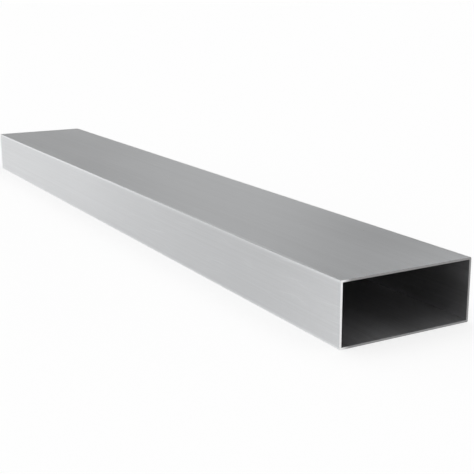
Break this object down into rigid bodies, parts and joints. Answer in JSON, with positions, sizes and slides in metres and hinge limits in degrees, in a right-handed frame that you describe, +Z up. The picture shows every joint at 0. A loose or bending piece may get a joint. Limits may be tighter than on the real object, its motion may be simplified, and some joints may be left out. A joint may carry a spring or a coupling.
{
  "type": "rectangular aluminium tube",
  "caption": "Extruded rectangular hollow section in aluminium, open right through and sawn square at both ends; stock for frames and rails.",
  "frame": {"origin": "under the middle of the tube, on the broad face that it lies on", "axes": "+X along the tube, towards one sawn end; +Y across its width; +Z up through its height"},
  "size_m": [0.5, 0.07, 0.03],
  "materials": {
    "aluminium": "mill finish with fine streaks along the tube"
  },
  "bodies": {
    "root": {"tube": "aluminium"}
  },
  "joints": []
}
